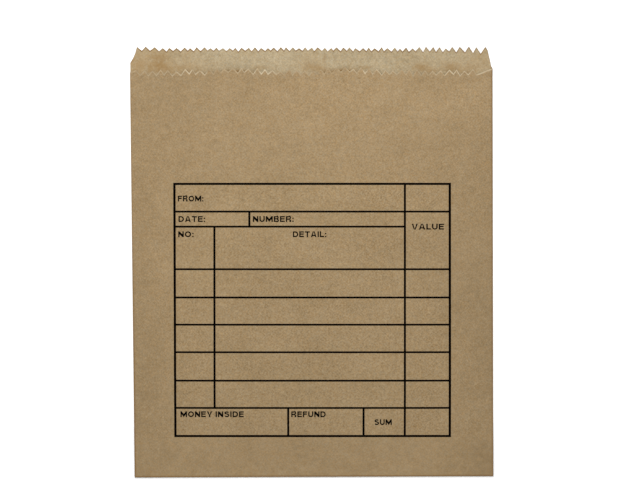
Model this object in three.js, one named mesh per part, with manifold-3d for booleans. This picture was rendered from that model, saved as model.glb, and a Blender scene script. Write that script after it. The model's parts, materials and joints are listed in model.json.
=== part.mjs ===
// A flat paper bag for a small order and its money, lying on its back with its printed front up.
// One web of kraft paper is folded into a tube, pasted down the middle of the back, and closed by
// a turned-up, pasted bottom. Its mouth is cut with teeth, and the back reaches higher as a lip.
// +X is to the right of the front, +Y runs from the bottom fold to the mouth, +Z is up.
// The origin is under the middle of the bag's outline, on the table. Sizes are in millimetres.
import * as THREE from 'three';
import { mergeVertices } from 'three/addons/utils/BufferGeometryUtils.js';
import Module from 'manifold-3d';

const wasm = await Module();
wasm.setup();

// ---- driving dimensions -------------------------------------------------------------------
const WIDTH = 200.8; // fold to fold
const HEIGHT = 238; // bottom fold to the highest teeth of the lip
const PLY = 0.12; // one thickness of kraft paper
const PASTE = 0.04; // a dried line of paste
const BULGE = 5.2; // how far the front stands off the back along the middle
const BULGE_START = 2; // height at which the front leaves the bottom fold
const BULGE_FULL = 55; // height above which the front stands at its full bulge
const CLOSING_START = 184; // the front comes back down towards the lip from here
const MOUTH_GAP = 1; // how far the front still stands off the back at the mouth
const LEAN_LEFT = 2.8; // the left fold leans in by this much at the bottom
const LEAN_RIGHT = 0.4; // the right fold leans in by this much at the mouth
const FLARE_LEFT = 0.35; // the left fold stands out by this much at the mouth

// Heights above the bottom fold where the bag bends, and the gap left along each bend
const FOLD_LINE = 172; // the top is folded down over the front here
const MOUTH_LINE = 180.5; // the front's upper edge lifts away from the back here
const LIP_LINE = 225.15; // the lip folds forward over the mouth here
const CREASE_GAP = 0.3;

// The mouth: the cut edge of the front, and of the lip behind it
const FLAP_HALF_WIDTH = 88;
const FRONT_VALLEY = 222;
const FRONT_TOOTH = 2.6;
const FRONT_TEETH = 40;
const CORNER_X = 94; // the front's edge climbs to the side folds from here
const CORNER_CURVE = 1; // how far past that the climb's curve is pulled
const LIP_VALLEY = 235.8;
const LIP_TOOTH = 1.8;
const LIP_TEETH = 53;
const LIP_TEETH_HALF_WIDTH = 96.4;
const LIP_END_CROWDING = 0.055; // the teeth grow wider towards both ends
const LIP_LEFT_SHOULDER = 228.8; // where the cut leaves the left fold
const LIP_RIGHT_SHOULDER = 225.6;
const LIP_LEFT_CURVE = 231; // the lip's sides curve in towards these heights
const LIP_RIGHT_CURVE = 229;
const LIP_CURVE_OUT = 1.2;

// The seam down the back and the turned-up bottom
const SEAM_OVERLAP = 14;
const SEAM_PASTE_WIDTH = 8;
const SEAM_PASTE_INSET = 0.5; // the line of paste stops this far short of each end
const SEAM_CLEARANCE = 0.3;
const JOGGLE = 3; // width over which the upper ply of the seam steps down
const FLAP_OUTER_HEIGHT = 20;
const FLAP_INNER_HEIGHT = 14;
const FLAP_INSET = 0.5; // the turned-up plies stop this far short of the side folds
const FLAP_PASTE_INSET = 3; // and the paste between them and the back this far
const FLAP_PASTE_START = 2; // height at which that paste begins
const FLAP_PASTE_MARGIN = 1; // how far it stops below the inner ply's cut edge
const INNER_FOLD_CLEARANCE = 0.08; // between the two plies round the bottom fold

// The printed form: its frame, and its lines of cells from the bottom up
const FORM = { left: -76.05, right: 76.3, bottom: 22.7, top: 162 };
const NUMBER_RULE = -53.8; // right of the first column
const VALUE_RULE = 51.4; // left of the last column
const HEADER_RULE = -34.45; // splits the second line of the heading
const TOTAL_RULES = [-13, 28.6]; // split the bottom line
const ENTRY_HEIGHTS = [38.3, 53.4, 69.1, 84.3, 99.3, 114.9];
const HEADING_TOPS = [138.4, 146.7];
const FRAME_RULE = 1.2;
const THIN_RULE = 1.04;
const UPRIGHT_EXTRA = 0.11; // upright rules are wider than level ones by this
const INK = 0.03;
const INK_LIFT = 0.05;

// ---- levels of the plies, from the table up -------------------------------------------------
const FLAP_OUTER_Z = 0;
const FLAP_INNER_Z = FLAP_OUTER_Z + PLY;
const BOTTOM_PASTE_Z = FLAP_INNER_Z + PLY;
const BACK_Z = BOTTOM_PASTE_Z + PASTE;
const SEAM_PASTE_Z = BACK_Z + PLY;
const SEAM_TOP_Z = SEAM_PASTE_Z + PASTE;
const FRONT_Z = SEAM_TOP_Z + 1.5 * PLY;

const SIDE_RADIUS = (FRONT_Z + PLY - BACK_Z) / 2;
const BOTTOM_RADIUS = (FRONT_Z + PLY - FLAP_OUTER_Z) / 2;
const INNER_BOTTOM_RADIUS = (BACK_Z + PLY - FLAP_INNER_Z) / 2;
const EDGE = WIDTH / 2 - SIDE_RADIUS; // where the plies meet the side folds
const HALF_GAP = CREASE_GAP / 2;

// ---- materials --------------------------------------------------------------------------------
const paper = (color) => new THREE.MeshStandardMaterial({ color, roughness: 0.85, metalness: 0 });
const KRAFT = paper(0xa3895f);
const KRAFT_INSIDE = paper(0xb8a585);
const PASTE_LINE = paper(0xcbb88f);
const BLACK_INK = paper(0x0c0c0c);

// ---- solids -----------------------------------------------------------------------------------
function solid(geometry) {
  geometry.deleteAttribute('normal');
  geometry.deleteAttribute('uv');
  const merged = mergeVertices(geometry, 1e-4);
  const vertProperties = new Float32Array(merged.attributes.position.array);
  const triVerts = new Uint32Array(merged.index.array);
  return new wasm.Manifold(new wasm.Mesh({ numProp: 3, vertProperties, triVerts }));
}

const bag = new THREE.Group();

// Neither side fold is quite straight up: points near a fold lean with it
function lean(x, h) {
  const share = (x / (WIDTH / 2)) ** 4;
  const up = h / HEIGHT;
  const left = x + (LEAN_LEFT * (1 - up) - FLARE_LEFT) * share;
  return x < 0 ? left : x - LEAN_RIGHT * up * share;
}

// Adds a solid, drawn in widths and heights above the bottom fold, as a named piece of the bag
function piece(name, shape, material) {
  const { vertProperties, triVerts } = shape.getMesh();
  const geometry = new THREE.BufferGeometry();
  geometry.setAttribute('position', new THREE.BufferAttribute(vertProperties, 3));
  geometry.setIndex(new THREE.BufferAttribute(triVerts, 1));
  const at = geometry.attributes.position;
  for (let i = 0; i < at.count; i++) {
    const h = at.getY(i);
    at.setXYZ(i, lean(at.getX(i), h), h - HEIGHT / 2, at.getZ(i));
  }
  geometry.computeVertexNormals();
  const mesh = new THREE.Mesh(geometry, material);
  mesh.name = name;
  bag.add(mesh);
}

// A ply on a grid of widths and heights, with its underside at under(x, h)
function ply(widths, heights, under, thickness = PLY) {
  const columns = widths.length - 1;
  const rows = heights.length - 1;
  const geometry = new THREE.BoxGeometry(1, 1, 1, columns, rows, 1);
  const at = geometry.attributes.position;
  for (let i = 0; i < at.count; i++) {
    const x = widths[Math.round((at.getX(i) + 0.5) * columns)];
    const h = heights[Math.round((at.getY(i) + 0.5) * rows)];
    at.setXYZ(i, x, h, under(x, h) + (at.getZ(i) > 0 ? thickness : 0));
  }
  return solid(geometry);
}

const flat = (z) => () => z;
const CUT_FROM = 5; // cuts start this far under the table and end this far above it
const CUT_TO = 15;

// Everything inside an outline, from below the bag to above it
function within(outline) {
  const geometry = new THREE.ExtrudeGeometry(outline, {
    depth: CUT_FROM + CUT_TO,
    bevelEnabled: false,
    curveSegments: 5,
  });
  geometry.translate(0, 0, -CUT_FROM);
  return solid(geometry);
}

// A bent ply: half of a ring round a centre, run along a length and turned into its place
function bend(radius, centre, level, length, turn) {
  const inner = radius - PLY;
  const section = new THREE.Shape();
  section.absarc(centre, level, radius, -Math.PI / 2, Math.PI / 2, true);
  section.lineTo(centre, level + inner);
  section.absarc(centre, level, inner, Math.PI / 2, -Math.PI / 2, false);
  const geometry = new THREE.ExtrudeGeometry(section, {
    depth: length,
    bevelEnabled: false,
    curveSegments: 8,
  });
  geometry.applyMatrix4(turn);
  return geometry;
}

const X = new THREE.Vector3(1, 0, 0);
const Y = new THREE.Vector3(0, 1, 0);
const Z = new THREE.Vector3(0, 0, 1);
const ALONG_WIDTH = new THREE.Matrix4().makeBasis(Y, Z, X);
const ALONG_HEIGHT = new THREE.Matrix4().makeBasis(X, Z, Y.clone().negate());

// ---- shape of the front -------------------------------------------------------------------------
const smooth = (t) => THREE.MathUtils.smoothstep(t, 0, 1);

function frontUnder(x, h) {
  const across = 1 - Math.min(1, Math.abs(x) / EDGE) ** 4;
  const rise = smooth((h - BULGE_START) / (BULGE_FULL - BULGE_START));
  const fall = smooth((h - CLOSING_START) / (FRONT_VALLEY - CLOSING_START));
  return FRONT_Z + across * (BULGE * rise - (BULGE - MOUTH_GAP) * fall);
}

// Columns crowd towards the side folds, where the front curves down
const FRONT_COLUMNS = 24;
const COLUMN_CROWDING = 1.5;

function frontColumns() {
  const widths = [];
  for (let i = 0; i <= FRONT_COLUMNS; i++) {
    const u = (2 * i) / FRONT_COLUMNS - 1;
    widths.push(EDGE * Math.sign(u) * (1 - (1 - Math.abs(u)) ** COLUMN_CROWDING));
  }
  return widths;
}

const FRONT_WIDTHS = frontColumns();

// Heights from one to another in even steps, both ends included
function evenly(low, high, steps) {
  return Array.from({ length: steps + 1 }, (_, i) => low + ((high - low) * i) / steps);
}

const RISE = evenly(BULGE_START, BULGE_FULL, 9);
const FALL = evenly(CLOSING_START, FRONT_VALLEY, 8);

// ---- cut edges ------------------------------------------------------------------------------------
// Adds a row of pointed teeth to an outline, from left to right
function addTeeth(outline, count, place, valley, tooth) {
  for (let i = 0; i < count; i++) {
    outline.lineTo(place(i / (count - 0.5)), valley + tooth);
    outline.lineTo(place((i + 0.5) / (count - 0.5)), i < count - 1 ? valley : valley + tooth);
  }
}

function lipTooth(t) {
  const u = 2 * t - 1;
  return LIP_TEETH_HALF_WIDTH * (u * (1 - LIP_END_CROWDING) + LIP_END_CROWDING * u ** 9);
}

function lipOutline() {
  const outline = new THREE.Shape();
  const curveX = LIP_TEETH_HALF_WIDTH + LIP_CURVE_OUT;
  outline.moveTo(-EDGE, LIP_LINE + HALF_GAP);
  outline.lineTo(-EDGE, LIP_LEFT_SHOULDER);
  outline.quadraticCurveTo(-curveX, LIP_LEFT_CURVE, -LIP_TEETH_HALF_WIDTH, HEIGHT);
  addTeeth(outline, LIP_TEETH, lipTooth, LIP_VALLEY, LIP_TOOTH);
  outline.lineTo(LIP_TEETH_HALF_WIDTH, HEIGHT);
  outline.quadraticCurveTo(curveX, LIP_RIGHT_CURVE, EDGE, LIP_RIGHT_SHOULDER);
  outline.lineTo(EDGE, LIP_LINE + HALF_GAP);
  return outline;
}

const flapTooth = (t) => FLAP_HALF_WIDTH * (2 * t - 1);

function flapOutline() {
  const outline = new THREE.Shape();
  outline.moveTo(-FLAP_HALF_WIDTH, MOUTH_LINE + HALF_GAP);
  addTeeth(outline, FRONT_TEETH, flapTooth, FRONT_VALLEY, FRONT_TOOTH);
  outline.lineTo(FLAP_HALF_WIDTH, MOUTH_LINE + HALF_GAP);
  return outline;
}

// The front of the band: a strip under the mouth flap with an arm up each side of it
function bandOutline() {
  const inside = FLAP_HALF_WIDTH + CREASE_GAP;
  const foldTop = LIP_LINE - HALF_GAP;
  const outline = new THREE.Shape();
  outline.moveTo(-EDGE, FOLD_LINE + HALF_GAP);
  outline.lineTo(EDGE, FOLD_LINE + HALF_GAP);
  outline.lineTo(EDGE, foldTop);
  outline.quadraticCurveTo(CORNER_X + CORNER_CURVE, FRONT_VALLEY, CORNER_X, FRONT_VALLEY);
  outline.lineTo(inside, FRONT_VALLEY);
  outline.lineTo(inside, MOUTH_LINE - HALF_GAP);
  outline.lineTo(-inside, MOUTH_LINE - HALF_GAP);
  outline.lineTo(-inside, FRONT_VALLEY);
  outline.lineTo(-CORNER_X, FRONT_VALLEY);
  outline.quadraticCurveTo(-CORNER_X - CORNER_CURVE, FRONT_VALLEY, -EDGE, foldTop);
  return outline;
}

// ---- the back, in two halves that overlap along the seam -------------------------------------------
const SEAM = SEAM_OVERLAP / 2;
const LEFT_WIDTHS = [-EDGE, SEAM];
const RIGHT_WIDTHS = [-SEAM, SEAM + SEAM_CLEARANCE, SEAM + SEAM_CLEARANCE + JOGGLE, EDGE];
const PASTE_WIDTHS = [-SEAM_PASTE_WIDTH / 2, SEAM_PASTE_WIDTH / 2];

function rightUnder(x) {
  return x <= SEAM + SEAM_CLEARANCE ? SEAM_TOP_Z : BACK_Z;
}

function backPieces(left, right, paste, heights, material, outline) {
  const cut = (sheet) => (outline ? sheet.intersect(within(outline)) : sheet);
  const [low, high] = heights;
  const inset = [low + SEAM_PASTE_INSET, Math.min(high, LIP_VALLEY) - SEAM_PASTE_INSET];
  piece(left, cut(ply(LEFT_WIDTHS, heights, flat(BACK_Z))), material);
  piece(right, cut(ply(RIGHT_WIDTHS, heights, rightUnder)), material);
  piece(paste, ply(PASTE_WIDTHS, inset, flat(SEAM_PASTE_Z), PASTE), PASTE_LINE);
}

// ---- the side folds ----------------------------------------------------------------------------------
function sideFolds(leftName, rightName, bottom, top) {
  const level = BACK_Z + SIDE_RADIUS;
  const left = bend(SIDE_RADIUS, -EDGE, level, top - bottom, ALONG_HEIGHT);
  left.translate(0, top, 0);
  const right = left.clone();
  right.rotateY(Math.PI);
  right.translate(0, 0, 2 * level);
  piece(leftName, solid(left), KRAFT);
  piece(rightName, solid(right), KRAFT);
}

// ---- the turned-up bottom ------------------------------------------------------------------------------
function bottom() {
  const across = 2 * (EDGE - FLAP_INSET);
  const outer = bend(BOTTOM_RADIUS, BOTTOM_RADIUS, BOTTOM_RADIUS, across, ALONG_WIDTH);
  outer.translate(-across / 2, 0, 0);
  piece('bottom_fold', solid(outer), KRAFT);

  const innerCentre = BOTTOM_RADIUS + INNER_FOLD_CLEARANCE;
  const innerLevel = FLAP_INNER_Z + INNER_BOTTOM_RADIUS;
  const inner = bend(INNER_BOTTOM_RADIUS, innerCentre, innerLevel, across, ALONG_WIDTH);
  inner.translate(-across / 2, 0, 0);
  piece('bottom_fold_inner', solid(inner), KRAFT);

  const widths = [-across / 2, across / 2];
  const pasteWidths = [FLAP_PASTE_INSET - EDGE, EDGE - FLAP_PASTE_INSET];
  const outerHeights = [BOTTOM_RADIUS, FLAP_OUTER_HEIGHT];
  const innerHeights = [innerCentre, FLAP_INNER_HEIGHT];
  const pasteHeights = [FLAP_PASTE_START, FLAP_INNER_HEIGHT - FLAP_PASTE_MARGIN];
  piece('bottom_flap_outer', ply(widths, outerHeights, flat(FLAP_OUTER_Z)), KRAFT);
  piece('bottom_flap_inner', ply(widths, innerHeights, flat(FLAP_INNER_Z)), KRAFT);
  piece('bottom_paste', ply(pasteWidths, pasteHeights, flat(BOTTOM_PASTE_Z), PASTE), PASTE_LINE);
  return innerCentre;
}

// ---- the printed form: level and upright rules joined into one thin layer of ink --------------------
function bar(left, right, low, high) {
  const outline = new THREE.Shape();
  outline.moveTo(left, low);
  outline.lineTo(right, low);
  outline.lineTo(right, high);
  outline.lineTo(left, high);
  return within(outline);
}

const levelRule = (h, left, right, width) => bar(left, right, h - width / 2, h + width / 2);

function uprightRule(x, low, high, width) {
  const half = (width + UPRIGHT_EXTRA) / 2;
  return bar(x - half, x + half, low, high);
}

function formRules() {
  const { left, right, bottom: low, top: high } = FORM;
  const over = (FRAME_RULE + UPRIGHT_EXTRA) / 2;
  const totalTop = ENTRY_HEIGHTS[0];
  const [columnTop, nameBottom] = HEADING_TOPS;
  const rules = [
    levelRule(low, left - over, right + over, FRAME_RULE),
    levelRule(high, left - over, right + over, FRAME_RULE),
    uprightRule(left, low, high, FRAME_RULE),
    uprightRule(right, low, high, FRAME_RULE),
    levelRule(nameBottom, left, right, THIN_RULE),
    levelRule(columnTop, left, VALUE_RULE, THIN_RULE),
    uprightRule(NUMBER_RULE, totalTop, columnTop, THIN_RULE),
    uprightRule(VALUE_RULE, low, high, THIN_RULE),
    uprightRule(HEADER_RULE, columnTop, nameBottom, THIN_RULE),
  ];
  for (const h of ENTRY_HEIGHTS) rules.push(levelRule(h, left, right, THIN_RULE));
  for (const x of TOTAL_RULES) rules.push(uprightRule(x, low, totalTop, THIN_RULE));
  return rules.reduce((joined, rule) => joined.add(rule));
}

// ---- the bag, body by body ---------------------------------------------------------------------------
const FRONT_HEIGHTS = [BOTTOM_RADIUS, ...RISE, FOLD_LINE - HALF_GAP];

function lowerBag() {
  const backBottom = bottom();
  const top = FOLD_LINE - HALF_GAP;
  const heights = [backBottom, top];
  piece('front_panel', ply(FRONT_WIDTHS, FRONT_HEIGHTS, frontUnder), KRAFT);
  backPieces('back_panel_left', 'back_panel_right', 'back_seam_paste', heights, KRAFT);
  sideFolds('left_side_fold', 'right_side_fold', 2 * BOTTOM_RADIUS, top);
  const inkUnder = (x, h) => frontUnder(x, h) + PLY + INK_LIFT;
  const ink = ply(FRONT_WIDTHS, FRONT_HEIGHTS, inkUnder, INK);
  piece('printed_form', ink.intersect(formRules()), BLACK_INK);
}

function topBand() {
  const [low, high] = [FOLD_LINE + HALF_GAP, LIP_LINE - HALF_GAP];
  const front = ply(FRONT_WIDTHS, [low, ...FALL, high], frontUnder);
  piece('front_band', front.intersect(within(bandOutline())), KRAFT);
  backPieces('back_band_left', 'back_band_right', 'band_seam_paste', [low, high], KRAFT);
  sideFolds('left_side_fold_band', 'right_side_fold_band', low, high);
}

function mouthFlap() {
  const heights = [MOUTH_LINE + HALF_GAP, ...FALL, FRONT_VALLEY + FRONT_TOOTH];
  const front = ply(FRONT_WIDTHS, heights, frontUnder);
  piece('mouth_flap', front.intersect(within(flapOutline())), KRAFT);
}

function lip() {
  const heights = [LIP_LINE + HALF_GAP, HEIGHT];
  backPieces('lip_left', 'lip_right', 'lip_seam_paste', heights, KRAFT_INSIDE, lipOutline());
}

lowerBag();
topBand();
mouthFlap();
lip();

export default bag;
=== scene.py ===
# A flat kraft paper bag for an order and its money, lying on its back with its printed front up.
# It is one web of paper: the web's own map runs round the tube from the seam and along its height.
# Lengths are in millimetres and heights are measured from the bottom fold, and metres() turns
# points into the frame's own metres.
import json
import math
import bpy
import numpy as np
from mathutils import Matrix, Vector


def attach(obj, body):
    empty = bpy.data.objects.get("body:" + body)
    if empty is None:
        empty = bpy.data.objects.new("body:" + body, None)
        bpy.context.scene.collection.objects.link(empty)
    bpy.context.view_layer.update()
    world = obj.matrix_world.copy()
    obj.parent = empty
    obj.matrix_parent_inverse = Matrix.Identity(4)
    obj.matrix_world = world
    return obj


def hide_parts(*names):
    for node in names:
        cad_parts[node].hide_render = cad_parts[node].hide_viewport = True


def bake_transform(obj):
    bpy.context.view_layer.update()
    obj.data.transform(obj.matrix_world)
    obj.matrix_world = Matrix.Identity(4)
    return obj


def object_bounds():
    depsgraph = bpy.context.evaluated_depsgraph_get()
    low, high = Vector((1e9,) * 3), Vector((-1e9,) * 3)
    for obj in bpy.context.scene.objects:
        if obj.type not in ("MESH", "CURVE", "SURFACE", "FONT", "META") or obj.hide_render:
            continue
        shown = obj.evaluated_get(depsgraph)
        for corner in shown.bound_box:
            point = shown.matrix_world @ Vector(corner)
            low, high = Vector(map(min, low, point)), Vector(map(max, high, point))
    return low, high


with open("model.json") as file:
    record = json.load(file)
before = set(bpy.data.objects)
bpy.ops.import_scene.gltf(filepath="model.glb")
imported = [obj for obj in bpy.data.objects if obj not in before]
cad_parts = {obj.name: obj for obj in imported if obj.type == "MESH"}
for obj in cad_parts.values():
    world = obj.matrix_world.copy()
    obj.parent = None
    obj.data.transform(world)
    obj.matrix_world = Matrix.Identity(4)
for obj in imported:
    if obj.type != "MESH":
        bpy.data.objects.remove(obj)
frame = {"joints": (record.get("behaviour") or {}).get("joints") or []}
cad_low, cad_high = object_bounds()

# ---- driving dimensions, from the frame ----------------------------------------------------------
MM = 0.001
WIDTH = 2 * cad_high.x / MM  # the right fold reaches its full width at the bottom
HEIGHT = (cad_high.y - cad_low.y) / MM
HINGE = {j["name"]: j["pos_m"][1] / MM + HEIGHT / 2 for j in frame["joints"]}
FOLD_LINE, MOUTH_LINE, LIP_LINE = HINGE["top_fold"], HINGE["mouth_open"], HINGE["lip_fold"]

# The paper and how its plies lie
PAPER = 0.12  # thickness of one ply
HALF_TUBE = 0.16  # from the middle of the flattened tube to the middle of either ply
TURN = 0.30  # radius of the tube's middle round the bottom fold
EDGE = WIDTH / 2 - HALF_TUBE - PAPER / 2  # where the plies run into the side folds
FOLD_OUT = TURN + HALF_TUBE + PAPER / 2  # the bottom fold stands this far out of the straight tube
LEAN_LEFT, LEAN_RIGHT = 2.8, 0.4  # how far the side folds lean in, at the bottom and at the mouth
FLARE_LEFT = 0.35  # how far the left fold stands out at the mouth
BOTTOM_SKEW = 0.37  # the bottom fold runs down to the left by this much either way

# The bulge of the front, as the frame has it
BULGE, BULGE_START, BULGE_FULL = 5.2, 2, 55
CLOSING_START, CLOSING_END, MOUTH_GAP = 184, 222, 1.0

# The cut mouth
FRONT_VALLEY, FRONT_TOOTH, FRONT_PITCH = 222.6, 2.6, 4.4
FRONT_WAVES = ((-42, 16, 1.1), (21, 13, 1.6))  # the cut waves upward here: place, half width, rise
FRONT_LEFT, FRONT_RIGHT = -97.0, 91.4  # the toothed stretch of the front's cut
LAST_TIP_GAP = 2  # between the front's last tip and the end of that stretch
LEFT_CORNER, RIGHT_CORNER = 223.8, 226.0  # where the front's cut meets the side folds
LIP_VALLEY, LIP_TOOTH, LIP_COUNT = 235.55, 1.85, 53
LIP_REACH, LIP_CROWDING = 96.4, 0.055  # place of the last tips, and how much wider they are apart
LIP_START = 219  # the lip's own sheet begins here, behind the front
LEFT_SHOULDER, RIGHT_SHOULDER = 229.0, 226.4  # where the lip's slanting ends leave the side folds
LEFT_END = ((-98.6, 231.6), (-97.3, 234.6))  # the cut from the left shoulder up to the first tip
RIGHT_END = ((97.6, 236.0), (98.9, 230.6), (99.7, 227.0))

# The printed form's outline, on the middle of its rules
LEFT, RIGHT, LOW, HIGH = -76.05, 76.3, 22.7, 162.0

# The seam and the turned-up bottom
SEAM, SEAM_CLEARANCE, JOGGLE, SEAM_STEP = 7.0, 0.3, 3.0, 0.13
FLAP_OUTER, FLAP_INNER = 20, 14
FLOOR_GAP = 0.03  # beyond the turned-up bottom the tube sinks to this far above the floor
SINK_START, SINK_RUN = FLAP_OUTER - 2, 18

# How the paper strays from its plain shape; a swell is its height, the size of its lumps, its seed
FRONT_SWELLS = ((0.30, 52, 1), (0.13, 21, 2), (0.03, 8, 3))
FREE_RUN = 25  # the front is free to stray above this height
LOOSE_START = 198  # and strays more towards the mouth from here
MOUTH_SWELL = (0.45, 13, 4)
MOUTH_LIFT = (-41, 8, 1.5)  # place, half width and rise of its one lifted spot
BACK_SWELL = (0.10, 34, 5)
BACK_START, BACK_RUN = FLAP_OUTER + 6, 30
CURL_SWELL = (0.45, 19, 6)  # the lip curls off the floor
CURL_RUN = 12


def metres(points):
    return (np.asarray(points, float) - [0, HEIGHT / 2, 0]) * MM


# ---- noise and smooth steps ----------------------------------------------------------------------
LATTICE, FAR_IN = 97, 40  # cells of the noise's lattice, and its origin's distance from the edge


def smooth(t):
    """0 up to t = 0, 1 from t = 1, and an even rise between."""
    t = np.clip(t, 0, 1)
    return t * t * (3 - 2 * t)


def hump(x, place, wide):
    """1 at the place, falling away to nothing at about twice wide from it."""
    return np.exp(-(((x - place) / wide) ** 2))


def clouds(x, y, size, seed):
    """Smooth noise from -1 to 1, with lumps about size across."""
    lattice = np.random.default_rng(seed).uniform(-1, 1, (LATTICE, LATTICE))
    gx, gy = np.asarray(x, float) / size + FAR_IN, np.asarray(y, float) / size + FAR_IN
    ix, iy = np.floor(gx).astype(int), np.floor(gy).astype(int)
    fx, fy = smooth(gx - ix), smooth(gy - iy)
    west, east = ix % LATTICE, (ix + 1) % LATTICE
    south, north = iy % LATTICE, (iy + 1) % LATTICE
    near = lattice[west, south] * (1 - fx) + lattice[east, south] * fx
    far = lattice[west, north] * (1 - fx) + lattice[east, north] * fx
    return near * (1 - fy) + far * fy


def swell(x, h, height, size, seed):
    return height * clouds(x, h, size, seed)


# ---- the web's place in space --------------------------------------------------------------------
FLAT = 0.999  # side beyond this is the flat front or back; between them a column rounds a side fold
SKEW_RUN = 22  # the skew of the bottom fold is gone this far up


def front_rise(x, h):
    """How far the front ply stands off the flattened tube."""
    across = 1 - np.minimum(1, np.abs(x) / EDGE) ** 4
    rise = smooth((h - BULGE_START) / (BULGE_FULL - BULGE_START))
    fall = smooth((h - CLOSING_START) / (CLOSING_END - CLOSING_START))
    bulge = across * (BULGE * rise - (BULGE - MOUTH_GAP) * fall)
    free = (1 - np.minimum(1, np.abs(x) / EDGE) ** 6) * smooth(h / FREE_RUN)
    waves = sum(swell(x, h, *each) for each in FRONT_SWELLS)
    loose = smooth((h - LOOSE_START) / (CLOSING_END - LOOSE_START))
    place, wide, lift = MOUTH_LIFT
    lifted = lift * hump(x, place, wide) + swell(x, 0 * h, *MOUTH_SWELL)
    return bulge + free * (waves + loose * lifted)


def back_rise(x, h):
    """How far the back ply stands off its flat place, towards the inside of the bag."""
    out = np.abs(x) / (WIDTH / 2)
    inner = smooth((h - BACK_START) / BACK_RUN) * (1 - out**4)
    ripple = BACK_SWELL[0] + swell(x, h, *BACK_SWELL)
    curl = smooth((h - LIP_LINE) / CURL_RUN) * (CURL_SWELL[0] + swell(x, 0 * h, *CURL_SWELL))
    return inner * ripple + curl * (1 - out**8)


def lean(x, h):
    """x with the side folds leaning as they do; the middle of the bag stays."""
    share, up = (x / (WIDTH / 2)) ** 4, h / HEIGHT
    left = x + (LEAN_LEFT * (1 - up) - FLARE_LEFT) * share
    return np.where(x < 0, left, x - LEAN_RIGHT * up * share)


def web(x, side, t, lift=0.0):
    """Points of the web: x across, side from -1 on the back to 1 on the front, t along the tube.
    Below t = 0 the tube turns round the bottom fold and comes back up under the bag.
    """
    x, side, t, lift = np.broadcast_arrays(x, side, t, np.asarray(lift, float))
    angle = np.clip(-t / TURN, 0, math.pi)
    flap = np.maximum(0, -t - math.pi * TURN)
    y = FOLD_OUT + np.maximum(t, 0) + flap - TURN * np.sin(angle)
    level = PAPER / 2 + HALF_TUBE + TURN
    sink = (2 * TURN - FLOOR_GAP) * smooth((t - SINK_START) / SINK_RUN)
    z = level + TURN * np.cos(angle) - sink
    h = FOLD_OUT + t
    off = HALF_TUBE * side + lift
    off = off + np.where(side > FLAT, front_rise(x, h), 0) * (t > 0)
    off = off + np.where(side < -FLAT, back_rise(x, h), 0) * (t > 0)
    y, z = y - off * np.sin(angle), z + off * np.cos(angle)
    skew = BOTTOM_SKEW * x / (WIDTH / 2) * (1 - smooth(h / SKEW_RUN))
    return np.stack([lean(x, h), y + skew, z], -1)


# ---- sheets: a grid of points given the paper's thickness ----------------------------------------
SHARP_ANGLE = math.radians(55)


def grid_normals(points):
    down, across = np.gradient(points, axis=0), np.gradient(points, axis=1)
    normal = np.cross(across, down)
    return normal / np.maximum(np.linalg.norm(normal, axis=-1, keepdims=True), 1e-12)


def thick_sheet(points, thickness):
    """Vertices of a closed sheet round a grid of points, and its outer, inner and cut faces."""
    rows, columns, _ = points.shape
    normal = grid_normals(points) * thickness / 2
    vertices = np.concatenate([points + normal, points - normal]).reshape(-1, 3)
    index = np.arange(rows * columns).reshape(rows, columns)
    a, b, c, d = index[:-1, :-1], index[:-1, 1:], index[1:, 1:], index[1:, :-1]
    outer = np.stack([a, b, c, d], -1).reshape(-1, 4)
    inner = outer[:, ::-1] + rows * columns
    ring = np.concatenate([index[0], index[1:, -1], index[-1, -2::-1], index[-2:0:-1, 0]])
    after = np.roll(ring, -1)
    rim = np.stack([ring + rows * columns, after + rows * columns, after, ring], -1)
    return vertices, outer, inner, rim


def store(mesh, name, values):
    """Keep a value or a vector for each vertex, for the materials to read."""
    kind, field = ("FLOAT", "value") if values.shape[1] == 1 else ("FLOAT_VECTOR", "vector")
    mesh.attributes.new(name, kind, "POINT").data.foreach_set(field, values.ravel())


def build(name, sheets, materials, thickness=PAPER):
    """One object from sheets, each (points, {attribute: values on its grid}).
    The materials are those of the outer, inner and cut faces, or one for all of them.
    """
    vertices, faces, slots, looks, count = [], [], [], {}, 0
    for points, attributes in sheets:
        sheet, outer, inner, rim = thick_sheet(points, thickness)
        faces += [outer + count, inner + count, rim + count]
        slots += [0] * len(outer) + [1] * len(inner) + [2] * len(rim)
        vertices.append(sheet)
        count += len(sheet)
        for key, value in attributes.items():
            flat = np.asarray(value, float).reshape(points.shape[0] * points.shape[1], -1)
            looks.setdefault(key, []).append(np.concatenate([flat, flat]))
    mesh = bpy.data.meshes.new(name)
    mesh.from_pydata(metres(np.concatenate(vertices)), [], np.concatenate(faces).tolist())
    for key, parts in looks.items():
        store(mesh, key, np.concatenate(parts))
    for material in materials:
        mesh.materials.append(material)
    if len(materials) > 1:
        mesh.polygons.foreach_set("material_index", slots)
    mesh.shade_smooth()
    mesh.set_sharp_from_angle(angle=SHARP_ANGLE)
    piece = bpy.data.objects.new(name, mesh)
    bpy.context.scene.collection.objects.link(piece)
    return piece


# ---- the cut edges -------------------------------------------------------------------------------
TIP_STRAY, VALLEY_STRAY = 0.45, 0.4  # how far along the edge each is off its even place
BLUNT_TEETH, BLUNT_SHARE = 3, 0.65  # some teeth have lost their point
WHOLE_ENDS = 4  # but not the first and last ones
LIP_UNEVEN, LIP_SEED = 0.17, 11
FRONT_UNEVEN, FRONT_SEED = 0.2, 21
DEEP_START, DEEP_RUN, DEEPER, TALLER = 42, 12, 0.4, 0.25  # the lip's teeth grow towards the right
LAST_TEETH, LAST_TALLER, LAST_DEEPER = 4, 0.2, 1.3  # and more so at its end
TALL_TIPS = {0: 0.1, 1: 0.0, 2: 0.3, -1: 0.1}  # these tips reach this near the full height


def jitter(count, size, seed):
    return np.random.default_rng(seed).uniform(-size, size, count)


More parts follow.
